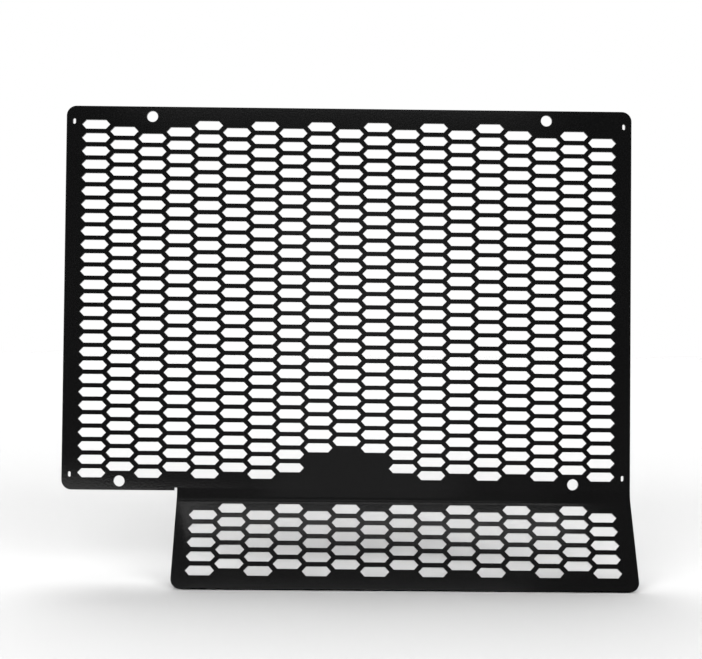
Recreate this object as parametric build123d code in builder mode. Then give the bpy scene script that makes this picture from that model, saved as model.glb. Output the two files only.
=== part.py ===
from build123d import *
import os
from math import ceil, cos, floor, hypot, radians, sin

# Radiator guard: one perforated sheet with a flat panel and a lower lip that is folded towards the viewer.
# The origin is the middle of the panel's near face. X runs across, Z up, and -Y towards the viewer.

# Sheet and panel, in millimetres
SHEET = 1.5
PANEL_WIDTH = 341.5
PANEL_HEIGHT = 231.0
CORNER_RADIUS = 6.0

# Fold and lip: the lip starts inside the panel's left side and runs to its right side, angle in degrees
FOLD_RADIUS = 22.0
FOLD_ANGLE = 21.0
FOLD_RISE = 1.7
LIP_INSET = 69.35
LIP_LENGTH = 50.5
RELIEF_WIDTH = 1.6

# Openings: six-sided, in columns staggered by half a row, one lattice over the flat sheet
COLUMN_PITCH = 17.0
ROW_PITCH = 8.07
ROW_WEB = 2.7
FLANK_WEB = 2.85
OPENING_POINT = 2.5
LATTICE_DROP = 0.5
EDGE_LAND = 7.0

# Places left bare: a plate in the middle columns at the panel's foot, and its upper right corner
PLATE_COLUMNS = 3
PLATE_ROWS = 2
BARE_CORNER_ROWS = 1

# Fixing holes, placed by the metal left beside them, and slots for ties
FIXING_HOLE = 6.6
UPPER_FIXING_LAND = 2.7
UPPER_FIXING_FROM_SIDE = 51.65
LOWER_FIXING_LAND = 0.35
LOWER_FIXING_FROM_SIDE = 34.5
SLOT_WIDTH = 1.7
SLOT_LENGTH = 3.3
SLOT_FROM_SIDE = 4.65
SLOT_FROM_END = 9.25

# Limits of the panel, and of the fold and lip on the flat sheet, as heights from the panel's middle
side = PANEL_WIDTH / 2
top = PANEL_HEIGHT / 2
bottom = -top
lip_left = LIP_INSET - side
lip_width = PANEL_WIDTH - LIP_INSET
turn = radians(FOLD_ANGLE)
fold_start = bottom + FOLD_RISE
fold_end = fold_start - FOLD_RADIUS * turn
lip_end = fold_end - LIP_LENGTH

# The fold turns about a line in front of the panel, and the lip leaves it along the slant
lip_plane = Plane(
    origin=(0, FOLD_RADIUS * (cos(turn) - 1), fold_start - FOLD_RADIUS * sin(turn)),
    x_dir=(1, 0, 0),
    z_dir=(0, -cos(turn), sin(turn)),
)

# One opening: what the pitches leave between the webs
opening_height = ROW_PITCH - ROW_WEB
half_height = opening_height / 2
flank_length = hypot(OPENING_POINT, half_height)
flank_step = (FLANK_WEB * flank_length + OPENING_POINT * (opening_height - ROW_PITCH / 2)) / half_height
half_flat = (COLUMN_PITCH - flank_step) / 2
half_length = half_flat + OPENING_POINT
opening_corners = [
    (half_length, 0),
    (half_flat, half_height),
    (-half_flat, half_height),
    (-half_length, 0),
    (-half_flat, -half_height),
    (half_flat, -half_height),
]

# Fixing holes and tie slots, in mirrored pairs
hole_radius = FIXING_HOLE / 2
upper_fixing_x = side - UPPER_FIXING_FROM_SIDE
upper_fixing_z = top - UPPER_FIXING_LAND - hole_radius
lower_fixing_x = side - LOWER_FIXING_FROM_SIDE
lower_fixing_z = fold_start + LOWER_FIXING_LAND + hole_radius
fixings = [
    (-upper_fixing_x, upper_fixing_z),
    (upper_fixing_x, upper_fixing_z),
    (-lower_fixing_x, lower_fixing_z),
    (lower_fixing_x, lower_fixing_z),
]
slot_x = side - SLOT_FROM_SIDE
slots = [(x, z) for x in (-slot_x, slot_x) for z in (bottom + SLOT_FROM_END, top - SLOT_FROM_END)]


def lattice_columns(left, right):
    """Numbers of the columns whose openings fit between two sides, counted from the middle one."""
    first = ceil((left + half_length) / COLUMN_PITCH)
    last = floor((right - half_length) / COLUMN_PITCH)
    return range(first, last + 1)


def lattice_column(column, low, high):
    """Centres of the openings of one column that fit between two heights of the flat sheet, lowest first."""
    start = -LATTICE_DROP if column % 2 else ROW_PITCH / 2 - LATTICE_DROP
    first = ceil((low + half_height - start) / ROW_PITCH)
    last = floor((high - half_height - start) / ROW_PITCH)
    return [(column * COLUMN_PITCH, start + row * ROW_PITCH) for row in range(first, last + 1)]


def clear_of_fixings(x, z):
    """Whether an opening leaves at least a row's web of metal above and below every fixing hole."""
    reach = half_height + hole_radius + ROW_WEB
    return all(abs(x - hole_x) > half_length or abs(z - hole_z) > reach for hole_x, hole_z in fixings)


panel_columns = lattice_columns(EDGE_LAND - side, side - EDGE_LAND)
plate_left = -(PLATE_COLUMNS // 2)
plate_columns = range(plate_left, plate_left + PLATE_COLUMNS)
panel_openings = []
for column in panel_columns:
    centres = lattice_column(column, bottom + EDGE_LAND, top - EDGE_LAND)
    if column in plate_columns:
        centres = centres[PLATE_ROWS:]
    if column == panel_columns[-1]:
        centres = centres[:len(centres) - BARE_CORNER_ROWS]
    panel_openings += [centre for centre in centres if clear_of_fixings(*centre)]

lip_openings = []
for column in lattice_columns(lip_left + EDGE_LAND, side - EDGE_LAND):
    centres = lattice_column(column, lip_end + EDGE_LAND, fold_end)
    lip_openings += [(x, z - fold_end) for x, z in centres]

with BuildPart() as radiator_guard:
    # Fold, a sector of the sheet's thickness
    with BuildSketch(Plane.YZ.offset(lip_left)):
        with BuildLine():
            near = CenterArc((-FOLD_RADIUS, fold_start), FOLD_RADIUS, 0, -FOLD_ANGLE)
            far = CenterArc((-FOLD_RADIUS, fold_start), FOLD_RADIUS + SHEET, 0, -FOLD_ANGLE)
            Line(near @ 0, far @ 0)
            Line(near @ 1, far @ 1)
        make_face()
    extrude(amount=lip_width)

    # Lip, drawn on its own slanted face, where the lattice of the panel goes on
    with BuildSketch(lip_plane) as lip:
        with Locations((lip_left, 0)):
            Rectangle(lip_width, LIP_LENGTH, align=(Align.MIN, Align.MAX))
        fillet(lip.vertices().group_by(Axis.Y)[0], CORNER_RADIUS)
        with Locations(*lip_openings):
            Polygon(*opening_corners, align=None, mode=Mode.SUBTRACT)
    extrude(amount=-SHEET)

    # Panel, down to the start of the fold on the right, with a notch that relieves the fold's left end
    with BuildSketch(Plane.XZ) as panel:
        with BuildLine():
            Polyline(
                (-side, top),
                (side, top),
                (side, fold_start),
                (lip_left - RELIEF_WIDTH, fold_start),
                (lip_left - RELIEF_WIDTH, bottom),
                (-side, bottom),
                close=True,
            )
        make_face()
        left_corners = panel.vertices().group_by(Axis.X)[0]
        upper_right_corner = panel.vertices().group_by(Axis.X)[-1].sort_by(Axis.Y)[-1]
        fillet([*left_corners, upper_right_corner], CORNER_RADIUS)
        with Locations(*fixings):
            Circle(hole_radius, mode=Mode.SUBTRACT)
        with Locations(*slots):
            SlotOverall(SLOT_LENGTH, SLOT_WIDTH, rotation=90, mode=Mode.SUBTRACT)
        with Locations(*panel_openings):
            Polygon(*opening_corners, align=None, mode=Mode.SUBTRACT)
    extrude(amount=-SHEET)

radiator_guard.part.label = "radiator_guard"
os.makedirs("parts", exist_ok=True)
export_step(radiator_guard.part, "parts/radiator_guard.step")
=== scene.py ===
import bpy
import bmesh
from math import cos, radians, sin, tan
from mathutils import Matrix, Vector


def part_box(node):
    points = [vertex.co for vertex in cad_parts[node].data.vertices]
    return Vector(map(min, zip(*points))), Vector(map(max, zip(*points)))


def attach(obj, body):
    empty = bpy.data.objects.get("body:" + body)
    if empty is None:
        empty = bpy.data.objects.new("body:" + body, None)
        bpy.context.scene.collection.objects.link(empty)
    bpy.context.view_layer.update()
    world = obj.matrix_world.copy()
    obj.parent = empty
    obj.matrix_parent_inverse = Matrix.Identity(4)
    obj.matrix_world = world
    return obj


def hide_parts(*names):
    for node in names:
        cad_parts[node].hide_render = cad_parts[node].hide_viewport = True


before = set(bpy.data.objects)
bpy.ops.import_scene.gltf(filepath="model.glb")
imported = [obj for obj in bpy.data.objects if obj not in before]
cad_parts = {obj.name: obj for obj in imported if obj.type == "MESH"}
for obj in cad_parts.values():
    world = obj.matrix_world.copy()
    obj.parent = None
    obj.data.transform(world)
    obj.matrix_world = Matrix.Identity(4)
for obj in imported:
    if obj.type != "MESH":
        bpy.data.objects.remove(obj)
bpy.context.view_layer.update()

# A perforated sheet with a folded lip, in a satin black powder coat, on white paper in soft light.
# Lengths are in metres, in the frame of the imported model: X across, Z up, -Y towards the viewer.
# The origin is the middle of the panel's near face.
PANEL_MIDDLE = (0.0, 0.0, 0.0)

# Sheet: its triangles are merged to flat faces, and the coat rounds the edges of its two skins.
# A face belongs to a skin where its normal has at least this much of Y.
MERGE_DISTANCE = 1e-6
FLAT_ANGLE = radians(0.5)
SKIN_SLANT = 0.9
EDGE_ROUNDING = 0.0002
EDGE_SEGMENTS = 2
SMOOTH_ANGLE = radians(40)

# Powder coat: the scales count the features in a metre, and the relief is peel and grain together
PEEL_SCALE = 750.0
GRAIN_SCALE = 2600.0
CLOUD_SCALE = 22.0
BLACK_DEEP = (0.0037, 0.0037, 0.0038, 1.0)
BLACK_PALE = (0.0054, 0.0054, 0.0055, 1.0)
COAT_ROUGHNESS = 0.105
ROUGHNESS_CHANGE = 0.03
COAT_IOR = 1.5
PEEL_SHARE = 0.7
RELIEF_STRENGTH = 0.45
RELIEF_DEPTH = 0.00005

# Camera of the photograph: a frame of 702 by 659 pixels, with the sensor along its width
CAMERA_PLACE = (-0.00205, -0.5377, -0.0272)
CAMERA_TURN = (radians(90.9835), radians(-0.5554), radians(-0.4349))
CAMERA_LENS = 45.81
CAMERA_NEAR = 0.01
SENSOR_WIDTH = 36.0

# Floor: it carries the lip's foot, and its front edge lies a little in front of the guard
FLOOR_REACH = 6.0
FLOOR_FRONT = -0.235
FLOOR_TURN = radians(29)
FLOOR_WHITE = (0.9, 0.9, 0.9, 1.0)
FLOOR_LEVELS = 0.45

# Room: dim, with a white backdrop that fades in around the direction straight behind the guard
ROOM_LIGHT = 0.06
ROOM_WHITE = (1.0, 1.0, 1.0, 1.0)
BACKDROP_START = 0.5
BACKDROP_FULL = 0.95

# Lamps of the floor: a low row in front, turned in degrees, and a high one behind
FRONT_TURNS = (-38, 0, 38)
FRONT_RISE = radians(22)
FRONT_ANGLE = radians(36)
FRONT_STRENGTH = 2.29
REAR_SOURCE = (-0.11, 0.29, 0.95)
REAR_ANGLE = radians(50)
REAR_STRENGTH = 2.5

# Lamps of the guard: the cards stand upright this far along Y, behind the viewer
CARD_PLANE = -1.6


class Shade:
    """An output in a node tree. Arithmetic with it adds Math nodes to the same tree."""

    def __init__(self, tree, socket=None):
        self.tree = tree
        self.socket = socket

    def add(self, kind, settings, sockets, output=0):
        """Add a node of any kind: first its settings, then its sockets' values or links."""
        node = self.tree.nodes.new(kind)
        for name, value in settings.items():
            setattr(node, name, value)
        for name, value in sockets.items():
            if isinstance(value, Shade):
                self.tree.links.new(value.socket, node.inputs[name])
            else:
                node.inputs[name].default_value = value
        return Shade(self.tree, node.outputs[output] if node.outputs else None)

    def math(self, operation, first, second):
        return self.add("ShaderNodeMath", {"operation": operation}, {0: first, 1: second})

    def __add__(self, other):
        return self.math("ADD", self, other)

    def __radd__(self, other):
        return self.math("ADD", other, self)

    def __sub__(self, other):
        return self.math("SUBTRACT", self, other)

    def __rsub__(self, other):
        return self.math("SUBTRACT", other, self)

    def __mul__(self, other):
        return self.math("MULTIPLY", self, other)

    def __rmul__(self, other):
        return self.math("MULTIPLY", other, self)


def fresh_tree(owner):
    """The owner's emptied node tree, as the start of its shade expressions."""
    owner.use_nodes = True
    owner.node_tree.nodes.clear()
    return Shade(owner.node_tree)


def noise(place, scale, detail):
    """A noise over the surface, between 0 and 1."""
    return place.add("ShaderNodeTexNoise", {}, {"Vector": place, "Scale": scale, "Detail": detail})


def ray(start, kind):
    """1 on rays of one kind, and 0 on all others."""
    return start.add("ShaderNodeLightPath", {}, {}, kind)


def pick(thing):
    """Select one object alone and make it the active one."""
    bpy.ops.object.select_all(action="DESELECT")
    thing.select_set(True)
    bpy.context.view_layer.objects.active = thing


def select_cut_edges(thing):
    """Select the edges along which a cut wall meets one of the sheet's two skins."""
    shape = bmesh.from_edit_mesh(thing.data)
    for edge in shape.edges:
        skins = [abs(face.normal.y) > SKIN_SLANT for face in edge.link_faces]
        edge.select = skins.count(True) == 1 and skins.count(False) == 1
    shape.select_flush_mode()
    bmesh.update_edit_mesh(thing.data)


def coated_sheet(node):
    """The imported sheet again, with the cut edges rounded as a thick coat leaves them."""
    sheet = bpy.data.objects.new("guard_sheet", node.data.copy())
    bpy.context.collection.objects.link(sheet)
    pick(sheet)
    bpy.ops.object.mode_set(mode="EDIT")
    bpy.ops.mesh.select_mode(type="EDGE")
    bpy.ops.mesh.select_all(action="SELECT")
    bpy.ops.mesh.remove_doubles(threshold=MERGE_DISTANCE)
    bpy.ops.mesh.dissolve_limited(angle_limit=FLAT_ANGLE)
    bpy.ops.mesh.select_all(action="DESELECT")
    select_cut_edges(sheet)
    bpy.ops.mesh.bevel(offset=EDGE_ROUNDING, segments=EDGE_SEGMENTS, affect="EDGES")
    bpy.ops.object.mode_set(mode="OBJECT")
    bpy.ops.object.shade_smooth_by_angle(angle=SMOOTH_ANGLE)
    weighted = sheet.modifiers.new("flat skins", "WEIGHTED_NORMAL")
    weighted.keep_sharp = True
    bpy.ops.object.modifier_apply(modifier=weighted.name)
    return sheet


def powder_coat():
    """Satin black powder coat: orange peel, a finer grain, and a slow change in depth and sheen."""
    coat = bpy.data.materials.new("black_powder_coat")
    start = fresh_tree(coat)
    place = start.add("ShaderNodeTexCoord", {}, {}, "Object")
    peel = noise(place, PEEL_SCALE, detail=1.0)
    grain = noise(place, GRAIN_SCALE, detail=2.0)
    cloud = noise(place, CLOUD_SCALE, detail=2.0)
    colour = start.add(
        "ShaderNodeMix",
        {"data_type": "RGBA"},
        {"Factor": cloud, "A": BLACK_DEEP, "B": BLACK_PALE},
        "Result",
    )
    change = ROUGHNESS_CHANGE * (cloud - 0.5) + ROUGHNESS_CHANGE * (grain - 0.5)
    relief = PEEL_SHARE * peel + (1.0 - PEEL_SHARE) * grain
    bump = start.add(
        "ShaderNodeBump",
        {},
        {"Strength": RELIEF_STRENGTH, "Distance": RELIEF_DEPTH, "Height": relief},
    )
    surface = start.add(
        "ShaderNodeBsdfPrincipled",
        {},
        {
            "Base Color": colour,
            "Roughness": COAT_ROUGHNESS + change,
            "Normal": bump,
            "IOR": COAT_IOR,
        },
    )
    start.add("ShaderNodeOutputMaterial", {}, {"Surface": surface})
    return coat


def floor_paper():
    """White paper. A fixed level comes off what is seen of it, which deepens the shadow on it."""
    paper = bpy.data.materials.new("white_paper")
    start = fresh_tree(paper)
    white = start.add("ShaderNodeBsdfDiffuse", {}, {"Color": FLOOR_WHITE})
    direct = ray(start, "Is Camera Ray") + ray(start, "Is Transmission Ray")
    seen = direct + ray(start, "Is Glossy Ray")
    levels = start.add("ShaderNodeEmission", {}, {"Strength": -FLOOR_LEVELS * seen})
    surface = start.add("ShaderNodeAddShader", {}, {0: white, 1: levels})
    start.add("ShaderNodeOutputMaterial", {}, {"Surface": surface})
    return paper


def studio_floor(level):
    """The paper's sheet. Its front edge is straight on the right and swings forward on the left."""
    middle = (0.0, FLOOR_REACH + FLOOR_FRONT, level)
    bpy.ops.object.select_all(action="DESELECT")
    bpy.ops.mesh.primitive_plane_add(size=2 * FLOOR_REACH, location=middle)
    floor = bpy.context.object
    floor.name = "floor"
    bpy.ops.object.mode_set(mode="EDIT")
    bpy.ops.mesh.select_mode(type="VERT")
    bpy.ops.mesh.select_all(action="SELECT")
    bpy.ops.mesh.bisect(plane_co=(0.0, 0.0, level), plane_no=(1.0, 0.0, 0.0))
    shape = bmesh.from_edit_mesh(floor.data)
    for corner in shape.verts:
        corner.select = corner.co.x < -FLOOR_REACH / 2 and corner.co.y < 0.0
    shape.select_flush_mode()
    bmesh.update_edit_mesh(floor.data)
    bpy.ops.transform.translate(value=(0.0, -FLOOR_REACH * tan(FLOOR_TURN), 0.0))
    bpy.ops.object.mode_set(mode="OBJECT")
    return floor


def light_room():
    """A dim room. The camera sees it white all round, and the coat only behind the guard."""
    room = bpy.data.worlds.new("studio_room")
    bpy.context.scene.world = room
    start = fresh_tree(room)
    direction = start.add("ShaderNodeTexCoord", {}, {}, "Generated")
    depth = start.add("ShaderNodeSeparateXYZ", {}, {"Vector": direction}, "Y")
    behind = start.add(
        "ShaderNodeMapRange",
        {"interpolation_type": "SMOOTHSTEP"},
        {"Value": depth, "From Min": BACKDROP_START, "From Max": BACKDROP_FULL},
    )
    direct = ray(start, "Is Camera Ray") + ray(start, "Is Transmission Ray")
    backdrop = direct + ray(start, "Is Glossy Ray") * behind
    background = start.add(
        "ShaderNodeBackground",
        {},
        {"Color": ROOM_WHITE, "Strength": ROOM_LIGHT + (1.0 - ROOM_LIGHT) * backdrop},
    )
    start.add("ShaderNodeOutputWorld", {}, {"Surface": background})


def only_on(lamp, receiver):
    """Let a lamp light one object alone, which every other object still shades."""
    receivers = bpy.data.collections.new(lamp.name + "_receiver")
    receivers.objects.link(receiver)
    lamp.light_linking.receiver_collection = receivers


def sky_lamp(name, receiver, source, angle, strength):
    """A wide, even light that comes from one direction."""
    bpy.ops.object.light_add(type="SUN", location=source)
    lamp = bpy.context.object
    lamp.name = name
    lamp.rotation_euler = Vector(source).to_track_quat("Z", "Y").to_euler()
    lamp.data.angle = angle
    lamp.data.energy = strength
    only_on(lamp, receiver)


def softbox(name, receiver, place, target, width, height, power, roll=0.0):
    """A soft rectangular lamp that faces a point, rolled a little where wanted."""
    bpy.ops.object.light_add(type="AREA", location=place)
    lamp = bpy.context.object
    lamp.name = name
    lamp.rotation_euler = (Vector(place) - Vector(target)).to_track_quat("Z", "Y").to_euler()
    lamp.rotation_euler.rotate_axis("Z", roll)
    lamp.data.shape = "RECTANGLE"
    lamp.data.size = width
    lamp.data.size_y = height
    lamp.data.energy = power
    only_on(lamp, receiver)


def card(name, receiver, x, z, width, height, power):
    """An upright card behind the viewer, which the coat mirrors."""
    softbox(name, receiver, (x, CARD_PLANE, z), (x, 0.0, z), width, height, power)


guard = coated_sheet(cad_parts["radiator_guard"])
guard.data.materials.clear()
guard.data.materials.append(powder_coat())
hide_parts("radiator_guard")
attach(guard, "root")

lip_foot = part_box("radiator_guard")[0].z
floor = studio_floor(lip_foot)
floor.data.materials.append(floor_paper())

light_room()
for turn in FRONT_TURNS:
    across = cos(FRONT_RISE) * sin(radians(turn))
    ahead = cos(FRONT_RISE) * cos(radians(turn))
    source = (across, -ahead, sin(FRONT_RISE))
    sky_lamp("floor_light_front_%d" % turn, floor, source, FRONT_ANGLE, FRONT_STRENGTH)
sky_lamp("floor_light_rear", floor, REAR_SOURCE, REAR_ANGLE, REAR_STRENGTH)

softbox(
    "left_softbox",
    guard,
    place=(-1.0, -0.6, 0.35),
    target=PANEL_MIDDLE,
    width=0.6,
    height=0.9,
    power=8.2,
)
softbox(
    "right_softbox",
    guard,
    place=(1.0, -0.6, 0.35),
    target=PANEL_MIDDLE,
    width=0.6,
    height=0.9,
    power=7.4,
)
softbox(
    "strip_light",
    guard,
    place=(0.03, -1.065, 0.497),
    target=(0.03, 0.0, -0.135),
    width=0.86,
    height=0.03,
    power=0.165,
    roll=radians(-0.9),
)
card("viewer_card", guard, x=0.04, z=-0.08, width=0.45, height=0.84, power=0.225)
card("wide_card", guard, x=0.02, z=0.07, width=0.96, height=1.06, power=0.19)
card("upper_card", guard, x=-0.05, z=0.588, width=1.0, height=0.055, power=0.112)

bpy.ops.object.camera_add(location=CAMERA_PLACE, rotation=CAMERA_TURN)
camera = bpy.context.object
camera.name = "photo_camera"
camera.data.lens = CAMERA_LENS
camera.data.sensor_fit = "HORIZONTAL"
camera.data.sensor_width = SENSOR_WIDTH
camera.data.clip_start = CAMERA_NEAR
bpy.context.scene.camera = camera
bpy.context.scene.view_settings.view_transform = "Standard"
